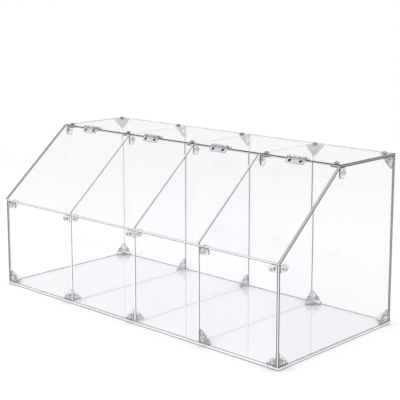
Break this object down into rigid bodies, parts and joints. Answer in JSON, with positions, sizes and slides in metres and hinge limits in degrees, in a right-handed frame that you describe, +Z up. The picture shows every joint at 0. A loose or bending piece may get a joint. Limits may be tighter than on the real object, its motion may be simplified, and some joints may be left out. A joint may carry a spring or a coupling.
{
  "type": "hinged-lid candy bin",
  "caption": "Countertop bin of clear sheet with side-by-side compartments, each closed by its own sloping lid that swings up on a hinge.",
  "frame": {"origin": "bottom centre of the whole bin, on the surface it stands on", "axes": "+X along the length, to the right seen from the front; -Y the front with the low panel and the lids; +Z up"},
  "size_m": [0.6052, 0.2752, 0.2699],
  "materials": {
    "clear_sheet": "clear polished acrylic sheet",
    "clear_lid": "clear polished acrylic sheet",
    "clear_connector": "moulded clear plastic, slightly frosted",
    "clear_hinge": "moulded clear plastic",
    "bright_screw": "nickel plated",
    "dark_screw": "dark oxide",
    "pin_steel": "plain steel pin"
  },
  "bodies": {
    "bin": {"base_panel": "clear_sheet", "back_panel": "clear_sheet", "front_panel": "clear_sheet", "top_panel": "clear_sheet", "left_side": "clear_sheet", "right_side": "clear_sheet", "divider_1": "clear_sheet", "divider_2": "clear_sheet", "divider_3": "clear_sheet", "bottom_front_bracket_1": "clear_connector", "bottom_front_bracket_2": "clear_connector", "bottom_front_bracket_3": "clear_connector", "bottom_front_bracket_4": "clear_connector", "bottom_front_bracket_5": "clear_connector", "bottom_back_bracket_1": "clear_connector", "bottom_back_bracket_2": "clear_connector", "bottom_back_bracket_3": "clear_connector", "bottom_back_bracket_4": "clear_connector", "bottom_back_bracket_5": "clear_connector", "top_back_bracket_1": "clear_connector", "top_back_bracket_2": "clear_connector", "top_back_bracket_3": "clear_connector", "top_back_bracket_4": "clear_connector", "top_back_bracket_5": "clear_connector", "front_clip_1": "clear_connector", "front_clip_2": "clear_connector", "front_clip_3": "clear_connector", "front_clip_4": "clear_connector", "front_clip_5": "clear_connector", "top_clip_1": "clear_connector", "top_clip_2": "clear_connector", "top_clip_3": "clear_connector", "top_clip_4": "clear_connector", "top_clip_5": "clear_connector", "hinge_fixed_leaf_1": "clear_hinge", "hinge_fixed_leaf_2": "clear_hinge", "hinge_fixed_leaf_3": "clear_hinge", "hinge_fixed_leaf_4": "clear_hinge", "hinge_pin_1": "pin_steel", "hinge_pin_2": "pin_steel", "hinge_pin_3": "pin_steel", "hinge_pin_4": "pin_steel", "base_screws": "bright_screw", "front_screws": "bright_screw", "back_screws": "bright_screw", "top_screws": "bright_screw", "upright_screws": "bright_screw", "hinge_fixed_screws": "dark_screw"},
    "lid_1": {"lid_1": "clear_lid", "hinge_lid_leaf_1": "clear_hinge", "hinge_lid_screws_1": "dark_screw"},
    "lid_2": {"lid_2": "clear_lid", "hinge_lid_leaf_2": "clear_hinge", "hinge_lid_screws_2": "dark_screw"},
    "lid_3": {"lid_3": "clear_lid", "hinge_lid_leaf_3": "clear_hinge", "hinge_lid_screws_3": "dark_screw"},
    "lid_4": {"lid_4": "clear_lid", "hinge_lid_leaf_4": "clear_hinge", "hinge_lid_screws_4": "dark_screw"}
  },
  "joints": [
    {"name": "lid_1_hinge", "type": "hinge", "parent": "bin", "child": "lid_1", "pos_m": [-0.225, -0.00572, 0.2675], "axis": [-1, 0, 0], "range_deg": [0, 220]},
    {"name": "lid_2_hinge", "type": "hinge", "parent": "bin", "child": "lid_2", "pos_m": [-0.075, -0.00572, 0.2675], "axis": [-1, 0, 0], "range_deg": [0, 220]},
    {"name": "lid_3_hinge", "type": "hinge", "parent": "bin", "child": "lid_3", "pos_m": [0.075, -0.00572, 0.2675], "axis": [-1, 0, 0], "range_deg": [0, 220]},
    {"name": "lid_4_hinge", "type": "hinge", "parent": "bin", "child": "lid_4", "pos_m": [0.225, -0.00572, 0.2675], "axis": [-1, 0, 0], "range_deg": [0, 220]}
  ]
}
